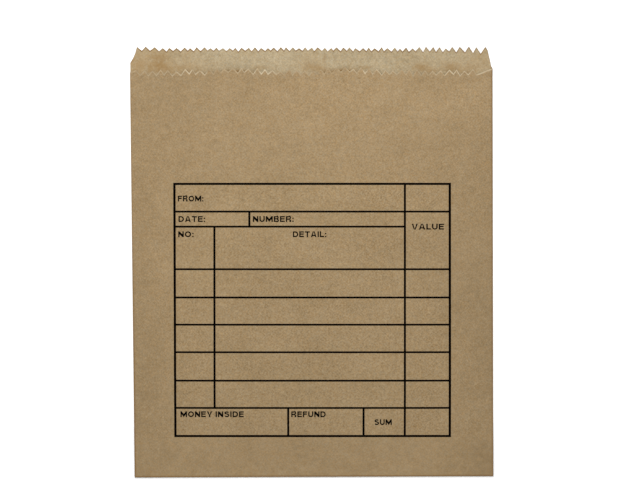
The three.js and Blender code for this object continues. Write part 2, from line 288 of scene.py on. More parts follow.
def zigzag(tips, valley, tooth, uneven, seed):
    """x and h of a toothed edge through the given tips, with a valley between each two of them."""
    count = len(tips)
    tips = tips + np.concatenate([[0], jitter(count - 2, TIP_STRAY, seed), [0]])
    heights = valley + tooth * (1 + jitter(count, uneven, seed + 1))
    pick = np.random.default_rng(seed + 2)
    blunt = pick.choice(count - 2 * WHOLE_ENDS, BLUNT_TEETH, replace=False) + WHOLE_ENDS
    heights[blunt] = valley + BLUNT_SHARE * tooth
    valleys = (tips[1:] + tips[:-1]) / 2 + jitter(count - 1, VALLEY_STRAY, seed + 3)
    lows = valley + tooth * jitter(count - 1, uneven, seed + 4)
    x, h = np.empty(2 * count - 1), np.empty(2 * count - 1)
    x[::2], x[1::2] = tips, valleys
    h[::2], h[1::2] = heights, lows
    return x, h


def lip_cut():
    """x and h along the lip's cut, from the left side fold to the right one."""
    u = np.linspace(-1, 1, LIP_COUNT)
    tips = LIP_REACH * (u * (1 - LIP_CROWDING) + LIP_CROWDING * u**9)
    x, h = zigzag(tips, LIP_VALLEY, LIP_TOOTH, LIP_UNEVEN, LIP_SEED)
    right = smooth((x - DEEP_START) / DEEP_RUN)
    high, low = h[::2], h[1::2]
    high += TALLER * right[::2]
    low -= DEEPER * right[1::2]
    for tip, below in TALL_TIPS.items():
        high[tip] = HEIGHT - below
    high[-LAST_TEETH - 1:-1] += LAST_TALLER
    low[-LAST_TEETH:] -= LAST_DEEPER * np.arange(1, LAST_TEETH + 1) / LAST_TEETH
    left_end = [(-EDGE, LEFT_SHOULDER), *LEFT_END]
    right_end = [*RIGHT_END, (EDGE, RIGHT_SHOULDER)]
    return np.concatenate([left_end, np.stack([x, h], -1), right_end]).T


def front_cut():
    """x and h along the front's cut, from the left side fold to the right one."""
    count = round((FRONT_RIGHT - FRONT_LEFT) / FRONT_PITCH)
    tips = np.linspace(FRONT_LEFT, FRONT_RIGHT - LAST_TIP_GAP, count)
    x, h = zigzag(tips, FRONT_VALLEY, FRONT_TOOTH, FRONT_UNEVEN, FRONT_SEED)
    h = h + sum(rise * hump(x, place, wide) for place, wide, rise in FRONT_WAVES)
    x = np.concatenate([[-EDGE], x, [FRONT_RIGHT, EDGE]])
    h = np.concatenate([[LEFT_CORNER], h, [FRONT_VALLEY, RIGHT_CORNER]])
    return x, h


def between(values, steps):
    """The values with steps - 1 more evenly put between each two."""
    places = np.arange(len(values) * steps - steps + 1) / steps
    return np.interp(places, np.arange(len(values)), values)


def spread(low, high, step, crowd=()):
    """Places from low to high about step apart, and closer at both ends by the crowd offsets."""
    crowd = np.asarray(crowd, float)
    reach = crowd[-1] if len(crowd) else 0
    count = max(2, round((high - low - 2 * reach) / step) + 1)
    middle = np.linspace(low + reach, high - reach, count)
    return np.unique(np.concatenate([low + crowd, middle, high - crowd]))


# ---- columns of the web, round the tube ----------------------------------------------------------
NEAR_EDGE = (0, 0.18, 0.4, 0.7, 1.1, 1.7, 2.5)  # columns and rows lie this far from a fold
NEAR_BACK_EDGE = NEAR_EDGE[:5]
FOLD_ANGLES = np.linspace(0, math.pi, 6)[1:-1]
FRONT_STEP, BACK_STEP = 1.6, 4  # between the other columns
# Painted shade along the folds: on the left fold, fading over a run up it, on the right fold and on
# the bottom fold
LEFT_FOLD_SHADE, LEFT_FOLD_SHADE_RUN, RIGHT_FOLD_SHADE, BOTTOM_FOLD_SHADE = 1.25, 185, 0.75, 0.7
SIDE_SHADE_REACH, BOTTOM_SHADE_REACH = 0.62, 0.42  # how far from the fold the painted shade reaches


def seam_lift(x):
    """The right ply laps over the left one inside the bag."""
    return SEAM_STEP * (1 - smooth((x - SEAM - SEAM_CLEARANCE) / JOGGLE))


def tube_columns(front_x):
    """x, side and lift of each column, from the seam's left ply by the front to its right ply."""
    left = spread(-EDGE, SEAM, BACK_STEP, NEAR_BACK_EDGE)[::-1]
    joggle = [SEAM, SEAM + JOGGLE / 2, SEAM + JOGGLE]
    right = np.union1d(spread(-SEAM, EDGE, BACK_STEP, NEAR_BACK_EDGE), joggle)[::-1]
    out = EDGE + HALF_TUBE * np.sin(FOLD_ANGLES)
    turned = np.cos(FOLD_ANGLES)
    x = np.concatenate([left, -out, front_x, out, right])
    side = np.concatenate([0 * left - 1, -turned, 0 * front_x + 1, turned, 0 * right - 1])
    lift = np.concatenate([0 * left, 0 * out, 0 * front_x, 0 * out, seam_lift(right)])
    return x, side, lift


def around(x, side):
    """Distance round the web from its first column."""
    steps = np.hypot(np.diff(x), HALF_TUBE * np.diff(side))
    return np.concatenate([[0], np.cumsum(steps)])


def fold_shade(x, t):
    """Painted shade: 1 on a side fold or the bottom fold, falling away beside it."""
    left_fold_darkening = np.clip(LEFT_FOLD_SHADE - t / LEFT_FOLD_SHADE_RUN, 0, 1)  # the painted shade is darkest at the bottom
    fold_darkening = np.where(x < 0, left_fold_darkening, RIGHT_FOLD_SHADE)
    near_side = fold_darkening * hump(np.maximum(0, EDGE - np.abs(x)), 0, SIDE_SHADE_REACH)
    near_bottom = BOTTOM_FOLD_SHADE * hump(t, 0, BOTTOM_SHADE_REACH)
    return np.maximum(near_side, near_bottom)


def web_map(distance, t):
    """The map that the paper's grain lies on: round the web by along its height."""
    return np.stack([np.broadcast_to(distance, t.shape), t, 0 * t], -1)


# ---- materials -----------------------------------------------------------------------------------
class Nodes:
    """A material's nodes, made and joined with short calls."""

    def __init__(self, name, roughness, specular):
        self.material = bpy.data.materials.new(name)
        self.material.use_nodes = True
        self.tree = self.material.node_tree
        self.shader = self.tree.nodes["Principled BSDF"]
        self.shader.inputs["Roughness"].default_value = roughness
        self.shader.inputs["Specular IOR Level"].default_value = specular

    def join(self, value, socket):
        if isinstance(value, bpy.types.NodeSocket):
            self.tree.links.new(value, socket)
        else:
            socket.default_value = value

    def attribute(self, name, output="Fac"):
        node = self.tree.nodes.new("ShaderNodeAttribute")
        node.attribute_name = name
        return node.outputs[output]

    def math(self, operation, a, b=0.0, clamp=False):
        node = self.tree.nodes.new("ShaderNodeMath")
        node.operation, node.use_clamp = operation, clamp
        self.join(a, node.inputs[0])
        self.join(b, node.inputs[1])
        return node.outputs[0]

    def place(self, turn=0.0, stretch=(1, 1, 1), shift=(0, 0, 0)):
        """The web's map in millimetres, turned and then shrunk by stretch along its new axes."""
        node = self.tree.nodes.new("ShaderNodeMapping")
        node.vector_type = "TEXTURE"
        self.join(self.attribute("web", "Vector"), node.inputs["Vector"])
        node.inputs["Rotation"].default_value = (0, 0, turn)
        node.inputs["Scale"].default_value = stretch
        node.inputs["Location"].default_value = shift
        return node.outputs[0]

    def noise(self, place, size, detail=2.0, warp=0.0):
        """Noise from about -1 to 1, with lumps about size across."""
        node = self.tree.nodes.new("ShaderNodeTexNoise")
        self.join(place, node.inputs["Vector"])
        node.inputs["Scale"].default_value = 1 / size
        node.inputs["Detail"].default_value = detail
        node.inputs["Distortion"].default_value = warp
        return self.math("MULTIPLY", self.math("SUBTRACT", node.outputs["Fac"], 0.5), 4.0)

    def flecks(self, place, size, share, soft):
        """1 in small scattered spots, in about share of the cells, and 0 elsewhere."""
        node = self.tree.nodes.new("ShaderNodeTexVoronoi")
        self.join(place, node.inputs["Vector"])
        node.inputs["Scale"].default_value = 1 / size
        spot = self.math("SUBTRACT", 1.0, self.math("DIVIDE", node.outputs["Distance"], soft), True)
        red = self.tree.nodes.new("ShaderNodeSeparateColor")
        self.join(node.outputs["Color"], red.inputs[0])
        chosen = self.math("LESS_THAN", red.outputs[0], share)
        return self.math("MULTIPLY", spot, chosen)

    def total(self, *terms):
        """The sum of share * value over the terms."""
        result = 0.0
        for share, value in terms:
            result = self.math("ADD", result, self.math("MULTIPLY", value, share))
        return result

    def mix(self, amount, a, b):
        node = self.tree.nodes.new("ShaderNodeMix")
        node.data_type = "RGBA"
        self.join(amount, node.inputs["Factor"])
        self.join(a, node.inputs["A"])
        self.join(b, node.inputs["B"])
        return node.outputs["Result"]

    def colour(self, value):
        self.join(value, self.shader.inputs["Base Color"])

    def bump(self, height, depth):
        node = self.tree.nodes.new("ShaderNodeBump")
        node.inputs["Strength"].default_value = 1.0
        node.inputs["Distance"].default_value = depth * MM
        self.join(height, node.inputs["Height"])
        self.join(node.outputs[0], self.shader.inputs["Normal"])


def srgb(red, green, blue):
    """The linear colour of an sRGB colour given in steps of 1 / 255."""
    steps = np.array([red, green, blue]) / 255
    linear = np.where(steps <= 0.04045, steps / 12.92, ((steps + 0.055) / 1.055) ** 2.4)
    return (*linear.tolist(), 1)


def shade(mean, *changes):
    """The colour mean, an sRGB triple, moved by the changes."""
    return srgb(*(max(0, value + sum(change)) for value, *change in zip(mean, *changes)))


# Each noise is its share of the way from the dark to the light colour, and the size of its lumps
GRAIN, DAPPLE = (0.155, 0.9), (0.085, 3.2)
CLOUDS, SWIRLS = (0.055, 45), (0.06, 11)
FIBRE_SHARE, FIBRE_STRETCH, FIBRE_TURNS = 0.095, (0.65, 2.4, 1), (0.84, -0.73)
FINE_HUE, BROAD_HUE = (0.31, 0.75), (0.07, 5)
TONE_SPAN, WARMTH = 30, (6, -1, -9)  # from the mean to the dark and light, and to the warm colour
SPECK_BROWN, FLECK_PALE, WRINKLE_PALE = (92, 68, 42), (200, 178, 142), (196, 182, 154)
# A greyer dark for the painted shadow in the lip's notches, and a brown for the painted shade along
# the folds
NOTCH_SHADOW_GREY, FOLD_SHADE_BROWN = (104, 92, 76), (112, 80, 40)
SPECK_SHARE, FLECK_SHARE, FOLD_SHADE_SHARE = 0.35, 0.28, 0.8
FINE_HUE_SHIFT, BROAD_HUE_SHIFT, PATCH_SHIFT = (50, 9, 4), (9, 50, 4), (7, 7, 7)
SPECKS, FLECKS = (2.3, 0.10, 0.16), (1.7, 0.08, 0.14)  # size of a cell, share of the cells, reach
FLECK_TURN, FLECK_STRETCH = 0.9, (1, 2.9, 1)
WRINKLES, WRINKLE_SHARPNESS, PATCH_SIZE = (2.4, 1, 1.6), 7.0, 22
BLOTCHES, RAGGED_SHARES, RAGGED_MIDDLE = (3.5, 3, 0.6), (0.5, 0.15), 0.9
RIM_PATCHES, RIM_MIDDLE = 6, 0.85
BUMP_SHARES, BUMP_DEPTH = (0.35, 1.6), 0.015
PAPER_ROUGHNESS, PAPER_SPECULAR = 0.86, 0.2


def kraft_colour(nodes, mean, shift, dappled):
    """Kraft paper's colour: clouds, dapples, grain and fibres, each mottled from warm to grey."""
    flat = nodes.place(shift=shift)
    fibres = [nodes.noise(nodes.place(turn, FIBRE_STRETCH, shift), 1, 1) for turn in FIBRE_TURNS]
    grain = (GRAIN[0], nodes.noise(flat, GRAIN[1], 1))
    fine = nodes.total(grain, *((FIBRE_SHARE, fibre) for fibre in fibres))
    rough = nodes.math("SUBTRACT", 1.0, nodes.attribute("smoothed"))
    fine = nodes.math("MULTIPLY", fine, rough)
    dapple = nodes.noise(flat, DAPPLE[1], 2, 0.5)
    swirls = (SWIRLS[0], nodes.noise(flat, SWIRLS[1], 2, 0.4))
    broad = nodes.total((CLOUDS[0], nodes.noise(flat, CLOUDS[1])), swirls)
    tone = nodes.total((1, fine), (DAPPLE[0] * dappled, dapple), (dappled, broad))
    tone = nodes.math("ADD", tone, 0.5, True)
    fine_hue = (FINE_HUE[0], nodes.noise(nodes.place(shift=FINE_HUE_SHIFT), FINE_HUE[1], 1))
    broad_hue = (BROAD_HUE[0], nodes.noise(nodes.place(shift=BROAD_HUE_SHIFT), BROAD_HUE[1], 2))
    hue = nodes.math("ADD", nodes.total(fine_hue, broad_hue), 0.5, True)
    dark, light = (-TONE_SPAN,) * 3, (TONE_SPAN,) * 3
    greyness = tuple(-change for change in WARMTH)
    warm = nodes.mix(tone, shade(mean, dark, WARMTH), shade(mean, light, WARMTH))
    grey = nodes.mix(tone, shade(mean, dark, greyness), shade(mean, light, greyness))
    return nodes.mix(hue, warm, grey), fine, dapple


def specked(nodes, colour, shift, dappled):
    """The colour with brown specks, pale flecks and, on paper that is more dappled, pale wrinkles."""
    flat = nodes.place(shift=shift)
    speck = nodes.flecks(flat, *SPECKS)
    colour = nodes.mix(nodes.math("MULTIPLY", speck, SPECK_SHARE), colour, srgb(*SPECK_BROWN))
    pale = nodes.flecks(nodes.place(FLECK_TURN, FLECK_STRETCH, shift), *FLECKS)
    colour = nodes.mix(nodes.math("MULTIPLY", pale, FLECK_SHARE), colour, srgb(*FLECK_PALE))
    ridge = nodes.math("ABSOLUTE", nodes.noise(flat, *WRINKLES))
    wrinkle = nodes.math("SUBTRACT", 1.0, nodes.math("MULTIPLY", ridge, WRINKLE_SHARPNESS), True)
    patch = nodes.noise(nodes.place(shift=PATCH_SHIFT), PATCH_SIZE)
    local = nodes.math("MULTIPLY", patch, dappled - 1, True)
    return nodes.mix(nodes.math("MULTIPLY", wrinkle, local), colour, srgb(*WRINKLE_PALE))


def kraft(name, mean, rim, rim_share, stain_and_shade, stain_and_shade_attribute, shift, dappled):
    """Kraft paper of a mean colour, a rim on its cut edge, and stain and painted shade by an
    attribute.
    """
    nodes = Nodes(name, PAPER_ROUGHNESS, PAPER_SPECULAR)
    flat = nodes.place(shift=shift)
    colour, fine, dapple = kraft_colour(nodes, mean, shift, dappled)
    colour = specked(nodes, colour, shift, dappled)
    blotch = nodes.noise(flat, *BLOTCHES)
    ragged = nodes.total(*zip(RAGGED_SHARES, (blotch, dapple)))
    ragged = nodes.math("ADD", ragged, RAGGED_MIDDLE, True)
    # stains, painted shade and painted light, made ragged
    stain_and_shade_share = nodes.math("MULTIPLY", nodes.attribute(stain_and_shade_attribute), ragged, True)
    colour = nodes.mix(stain_and_shade_share, colour, srgb(*stain_and_shade))
    # painted shadow in the notches under the front's lifted teeth, where the attribute goes past 1
    notch_shadow_share = nodes.math("SUBTRACT", nodes.attribute(stain_and_shade_attribute), 1.0, True)
    colour = nodes.mix(notch_shadow_share, colour, srgb(*NOTCH_SHADOW_GREY))
    # painted shade along the folds, in a darker brown
    fold_shaded = nodes.math("MULTIPLY", nodes.attribute("fold_shade"), FOLD_SHADE_SHARE)
    colour = nodes.mix(fold_shaded, colour, srgb(*FOLD_SHADE_BROWN))
    # the rim along the cut edges: pale with painted highlight on the outside, brown with painted
    # shade on the inside
    cut = nodes.math("MULTIPLY", nodes.attribute("edge"), rim_share)
    patchy = nodes.math("ADD", nodes.noise(flat, RIM_PATCHES), RIM_MIDDLE, True)
    colour = nodes.mix(nodes.math("MULTIPLY", cut, patchy, True), colour, srgb(*rim))
    nodes.colour(colour)
    nodes.bump(nodes.total(*zip(BUMP_SHARES, (dapple, fine))), BUMP_DEPTH)
    return nodes.material


def mottled(name, roughness, specular, dark, light, share, size, middle):
    """A plain material that varies a little from a dark to a light colour."""
    nodes = Nodes(name, roughness, specular)
    mottle = nodes.total((share, nodes.noise(nodes.place(), size, 3)))
    nodes.colour(nodes.mix(nodes.math("ADD", mottle, middle, True), dark, light))
    return nodes.material


# Outside: a pale cut edge with painted highlight along the front's teeth; its stain colour paints the
# even toning, the seam's paste and painted shade
OUTSIDE = kraft(
    "kraft_outside", mean=(145, 122, 87), rim=(214, 200, 172), rim_share=0.8,
    stain_and_shade=(104, 86, 58), stain_and_shade_attribute="handling_and_painted_shade", shift=(0, 0, 0), dappled=1,
)
# Inside: a brown line along the lip's cut edge, a darker cut edge with painted shade along it; its
# stain colour paints the lip's patches and painted shadow
INSIDE = kraft(
    "kraft_inside", mean=(157, 140, 109), rim=(120, 90, 48), rim_share=1,
    stain_and_shade=(138, 107, 62), stain_and_shade_attribute="stain_and_shade", shift=(300, 70, 0), dappled=1.5,
)
CUT = mottled(
    "kraft_cut_edge", roughness=0.9, specular=0.2, dark=srgb(150, 124, 88),
    light=srgb(196, 174, 138), share=0.25, size=0.5, middle=0.5,
)
INK = mottled(
    "printing_ink", roughness=0.7, specular=0, dark=(0, 0, 0, 1),
    light=(0.004, 0.0035, 0.003, 1), share=0.3, size=0.6, middle=0.4,
)
PAPER_MATERIALS = [OUTSIDE, INSIDE, CUT]


# ---- the bag's three sheets ----------------------------------------------------------------------
SEAM_EDGE, SEAM_PASTE = (0.5, 0.35), (1.6, 0.4)  # half width beside the seam, and strength
FLAP_ROWS, TURN_ROWS = 7, 7  # rows up the flap and round the bottom
BODY_STEP = 1.9  # between the rows above them


def seam_edge(x, side):
    """1 along the outer ply's cut edge at the seam up the back."""
    wide, strength = SEAM_EDGE
    return np.where(side < -FLAT, strength * hump(x, SEAM, wide), 0)


def seam_paste(x, side, lift):
    """The paste pressed out of the seam darkens the inner ply beside it."""
    wide, strength = SEAM_PASTE
    return np.where((side < -FLAT) & (lift > 0), strength * hump(x, SEAM, wide), 0)


def flap_reach(side):
    """The inner ply of the turned-up bottom is cut shorter than the outer one."""
    return FLAP_INNER + (FLAP_OUTER - FLAP_INNER) * (side + 1) / 2


HANDLED = 0.14  # how far the whole outside is toned down by handling
FRONT_PAINTED_SHADE = (  # x, h, half width, half height and strength of painted shade on the front, darker at its margins and bottom; a negative strength is painted light
    (-76, 207, 32, 22, 0.17),
    (15, 219, 42, 13, -0.15),
    (15, 178, 50, 30, -0.07),
    (90, 207, 18, 10, -0.13),
    (40, 160, 22, 12, -0.11),
    (86, 105, 20, 30, 0.12),
    (88, 46, 18, 14, 0.07),
    (0, 37, 48, 6, -0.10),
    (-94, 40, 18, 45, 0.13),
    (97, 4, 17, 17, 0.19),
    (101, 60, 15, 70, 0.14),
    (-101, 80, 14, 70, 0.12),
    (0, 0, 150, 14, 0.08),
    (-28, 55, 50, 45, 0.05),
)
FLAP_SMOOTHED, FLAP_SMOOTH_TOP, FLAP_EASE = 0.3, 24, 6
FORM_ROUGHENED, FORM_EASE = 0.28, 3


def stain_and_shade_patches(x, h, places):
    """How far all of the places together darken the paper: stains and painted shade, and painted
    light where negative.
    """
    total = 0 * h + 0 * x
    for place, height, across, up, strength in places:
        total = total + strength * hump(x, place, across) * hump(h, height, up)
    return total


def handling_and_painted_shade(x, side, t, lift):
    """How dark the outside is: an even toning, painted shade and painted light in patches on the
    front, and the paste along the seam on the back.
    """
    patches = HANDLED + stain_and_shade_patches(x, t, FRONT_PAINTED_SHADE) * (side > 0)
    return np.maximum(0, patches) + seam_paste(x, side, lift)


def smoothed(x, t):
    """How much weaker the grain is: pressed flat over the bottom flap, and rougher in the form."""
    inside = smooth((RIGHT - np.abs(x)) / FORM_EASE)
    inside = inside * smooth((t - LOW) / FORM_EASE) * smooth((HIGH - t) / FORM_EASE)
    return FLAP_SMOOTHED * smooth((FLAP_SMOOTH_TOP - t) / FLAP_EASE) - FORM_ROUGHENED * inside


def tube_looks(x, side, t, lift, edge):
    """What the materials read at each point of a sheet that goes round the tube."""
    near_fold = np.where(np.abs(side) > FLAT, x, np.sign(x) * EDGE)
    return {
        "web": web_map(around(x, side), t),
        "fold_shade": fold_shade(near_fold, t),
        "edge": edge,
        "handling_and_painted_shade": handling_and_painted_shade(x, side, t, lift),
        "smoothed": smoothed(x, t),
    }


def make_body():
    x, side, lift = tube_columns(spread(-EDGE, EDGE, FRONT_STEP, NEAR_EDGE))
    arc = math.pi * TURN
    flap = np.linspace(1, 0, FLAP_ROWS)[:-1, None] * (flap_reach(side) - arc)[None, :]
    turn = -np.linspace(arc, 0, TURN_ROWS)[:, None] + 0 * side
    rows = spread(0, MOUTH_LINE - FOLD_OUT, BODY_STEP, NEAR_EDGE)[1:]
    t = np.concatenate([-arc - flap, turn, rows[:, None] + 0 * side])
    looks = tube_looks(x, side, t, lift, 0 * t + seam_edge(x, side))
    return build("bag_body", [(web(x, side, t, lift), looks)], PAPER_MATERIALS)


RIM_ROWS = np.array([1.1, 0.8, 0.5, 0.2, 0.0])  # distances of the last rows from the cut edge
RIM_SHARE = np.array([0.0, 0.35, 0.9, 1.0, 1.0])
EASING_ROWS = np.array([[0.35], [0.7]])  # and of those between the even ones and the last ones
TOOTH_ROOM = 1.3  # the sheet's rows stay even up to this far below the valleys
MOUTH_STEP, LIP_STEP = 1.6, 1.2  # between the even rows
RIM_HIGHLIGHTS = ((-67, 0.6), (-28, 0.6), (31, 0.5), (82, 0.55), (99, 0.3))  # place and strength of painted highlight on the front's pale cut edge
PALE_RIM_WIDE, RIM_MEAN, RIM_SWELL = 8, 0.24, (0.14, 9, 7)
NEAR = 1e-6  # places this close are the same
LIFT_RUN, LIFT_REACH, LIFT_EASE = 14, 97, 48  # the middle of the front lifts, and its sides stay


def rows_to_cut(start, body, top, step):
    """Heights of a sheet's rows, even up to body and then closing on its cut edge at top."""
    even = np.linspace(0, 1, max(2, round((np.max(body) - start) / step)))[:, None]
    easing = body + EASING_ROWS * (top - RIM_ROWS[0] - body)
    heights = np.concatenate([start + even * (body - start), easing, top - RIM_ROWS[:, None]])
    edge = np.concatenate([0 * even, 0 * EASING_ROWS, RIM_SHARE[:, None]]) + 0 * heights
    return heights, edge


def pale_rim_and_highlight(x):
    """How pale the front's cut edge shows: a lighter cut edge, with painted highlight strongest at
    the given places.
    """
    pale = sum(share * hump(x, place, PALE_RIM_WIDE) for place, share in RIM_HIGHLIGHTS)
    return RIM_MEAN + swell(x, 0 * x, *RIM_SWELL) + pale


def make_mouth():
    """The sheet round the mouth, and how far each of its points goes with the lifted flap."""
    cut_x, cut_h = front_cut()
    near = np.array(NEAR_EDGE)
    front_x = np.unique(np.concatenate([between(cut_x[1:-1], 2), EDGE - near, near - EDGE]))
    x, side, lift = tube_columns(front_x)
    front, back = side > FLAT, side < -FLAT
    corner = np.where(x < 0, LEFT_CORNER, RIGHT_CORNER)
    top = np.where(front, np.interp(x, cut_x, cut_h), np.where(back, LIP_START, corner))
    plain_x = [-EDGE, FRONT_LEFT, FRONT_RIGHT, EDGE]
    plain_h = [LEFT_CORNER, FRONT_VALLEY, FRONT_VALLEY, RIGHT_CORNER]
    level = np.where(back, top, np.minimum(top, np.interp(x, plain_x, plain_h)))
    heights, edge = rows_to_cut(MOUTH_LINE, level - TOOTH_ROOM, top, MOUTH_STEP)
    t = heights - FOLD_OUT
    rim = np.maximum(edge * front * pale_rim_and_highlight(x), seam_edge(x, side))
    looks = tube_looks(x, side, t, lift, rim)
    piece = build("bag_mouth", [(web(x, side, t, lift), looks)], PAPER_MATERIALS)
    share = smooth((heights - MOUTH_LINE) / LIFT_RUN) * smooth((LIFT_REACH - np.abs(x)) / LIFT_EASE)
    return piece, share * front


LIP_SHADOWS_AND_PATCHES = (  # x, h, half width, half height and strength of the patches inside the lip: painted shadow along the front's cut edge, deepest under its lifted teeth, and browner patches higher up and at its ends
    (-98, 228, 11, 10, 0.60),
    (-84, 230, 6, 7, 0.55),
    (-72, 225, 16, 4, 0.50),
    (-69, 234, 7, 6, 0.25),
    (-42, 223.5, 7, 1.3, 1.75),
    (-28, 226.4, 5, 0.7, 0.55),
    (0, 226.5, 5, 2.5, 0.55),
    (-2, 230.5, 6, 4, 0.15),
    (6, 225, 3, 2, 0.5),
    (17, 224.1, 7, 1.3, 1.75),
    (30, 226.6, 4.5, 0.7, 0.55),
    (60, 226.5, 5, 3, 0.60),
    (67, 224, 4, 2.5, 0.55),
    (76, 227, 4, 3, 0.45),
    (84, 225, 9, 3.5, 0.40),
    (89, 231, 7, 8, 0.22),
    (97, 231, 6, 8, 0.22),
)


def make_lip():
    cut_x, cut_h = lip_cut()
    every_x = np.unique(np.concatenate([between(cut_x, 2), [-SEAM, SEAM, SEAM + JOGGLE]]))
    sheets = []
    for low, high, lifted in ((-EDGE, SEAM, 0), (-SEAM, EDGE, 1)):
        x = every_x[(every_x >= low - NEAR) & (every_x <= high + NEAR)][::-1]
        side = 0 * x - 1
        top = np.interp(x, cut_x, cut_h)
        plain = np.interp(np.abs(x), [LIP_REACH, EDGE], [LIP_VALLEY, RIGHT_SHOULDER])
        level = np.minimum(top, plain)
        heights, edge = rows_to_cut(LIP_START, level - TOOTH_ROOM, top, LIP_STEP)
        t = heights - FOLD_OUT
        looks = {
            "web": web_map(SEAM - x, t),
            "fold_shade": fold_shade(x, t) * (heights < LEFT_SHOULDER),
            "edge": np.maximum(edge, seam_edge(x, side)),
            "stain_and_shade": stain_and_shade_patches(x, heights, LIP_SHADOWS_AND_PATCHES),
        }
        sheets.append((web(x, side, t, lifted * seam_lift(x)), looks))
    return build("bag_lip", sheets, PAPER_MATERIALS)


# ---- the printed form ----------------------------------------------------------------------------
NUMBER_RULE, VALUE_RULE, HEADER_RULE = -53.8, 51.4, -34.45
TOTAL_RULES = (-13.0, 28.6)
ENTRY_HEIGHTS = (38.3, 53.4, 69.1, 84.3, 99.3, 114.9)
COLUMN_TOP, NAME_BOTTOM = 138.4, 146.7
FRAME_RULE, THIN_RULE = 1.2, 1.04  # widths of the level rules
UPRIGHT_EXTRA = 0.11  # the upright rules are wider by this
RULE_STEP = 1.5
INK_THICKNESS, INK_LIFT = 0.02, 0.03


def on_front(x, h):
    """Points of the ink on the front of the bag."""
    x, h = np.broadcast_arrays(x, h)
    return web(x, 1 + 0 * x, h - FOLD_OUT, PAPER / 2 + INK_LIFT)


def strip(along, low, high, width, upright):
    """One ruled line as a sheet of ink, from low to high at the given place."""
    run = np.linspace(low, high, max(2, round((high - low) / RULE_STEP) + 1))
    wide = along + np.array([-width / 2, width / 2])
    x, h = (wide[None, :], run[:, None]) if upright else (run[None, :], wide[:, None])
    return on_front(x, h), {"web": np.stack(np.broadcast_arrays(x, h, 0), -1)}


def broken(rule, crossings, low, high, width):
    """An upright rule, in the stretches between the level rules that it meets."""
    stops = [low, *[h for h in crossings if low < h < high], high]
    half = {h: (FRAME_RULE if h in (LOW, HIGH) else THIN_RULE) / 2 for h in stops}
    return [strip(rule, a + half[a], b - half[b], width, True) for a, b in zip(stops, stops[1:])]


def make_rules():
    side = (FRAME_RULE + UPRIGHT_EXTRA) / 2
    upright = THIN_RULE + UPRIGHT_EXTRA
    full = (*ENTRY_HEIGHTS, NAME_BOTTOM)
    sheets = [strip(h, LEFT - side, RIGHT + side, FRAME_RULE, False) for h in (LOW, HIGH)]
    sheets += [strip(h, LEFT + side, RIGHT - side, THIN_RULE, False) for h in full]
    sheets.append(strip(COLUMN_TOP, LEFT + side, VALUE_RULE - upright / 2, THIN_RULE, False))
    for rule in (LEFT, RIGHT):
        sheets += broken(rule, (), LOW, HIGH, 2 * side)
    sheets += broken(NUMBER_RULE, ENTRY_HEIGHTS, ENTRY_HEIGHTS[0], COLUMN_TOP, upright)
    sheets += broken(VALUE_RULE, full, LOW, HIGH, upright)
    sheets += broken(HEADER_RULE, (), COLUMN_TOP, NAME_BOTTOM, upright)
    for rule in TOTAL_RULES:
        sheets += broken(rule, (), LOW, ENTRY_HEIGHTS[0], upright)
    return build("printed_rules", sheets, [INK], INK_THICKNESS)


# Letters are drawn with a flat pen in a box one cap height tall; HALF is half the pen's width.
HALF = 0.106
PEN = 2 * HALF


def line(x0, y0, x1, y1, across=(HALF, 0)):
    """A straight stroke, as its middle and the way from there to its side."""
    return np.array([[x0, y0], [x1, y1]]), np.array([across, across])


def stem(x, low=0.0, high=1.0):
    return line(x, low, x, high)


def bar(x0, x1, y):
    return line(x0, y, x1, y, (0, HALF))


def slope(x0, y0, x1, y1, share=1.0):
    """A slanting stroke between two stems, cut off upright at both ends."""
    tall = share * HALF * math.hypot(x1 - x0, y1 - y0) / abs(x1 - x0)
    toward = math.copysign(tall, y1 - y0)
    return line(x0, y0 + toward, x1, y1 - toward, (0, tall))


def leg(foot, top, y0=0.0, y1=1.0, share=0.6):
    """A slanting stroke cut off level at both ends, narrower at its top."""
    wide = HALF * math.hypot(top - foot, y1 - y0) / abs(y1 - y0)
    side = math.copysign(1, top - foot)
    middle = np.array([[foot + side * wide, y0], [top - side * share * wide, y1]])
    return middle, np.array([[wide, 0], [share * wide, 0]])


def bowl(x, y, wide, tall, start, end):
    """A round stroke from one angle to another, inside a box of this half width and half height."""
    turn = np.radians(np.linspace(start, end, 3 + abs(end - start) // 18))
    ray = np.stack([np.cos(turn), np.sin(turn)], -1)
    return [x, y] + ray * [wide - HALF, tall - HALF], HALF * ray


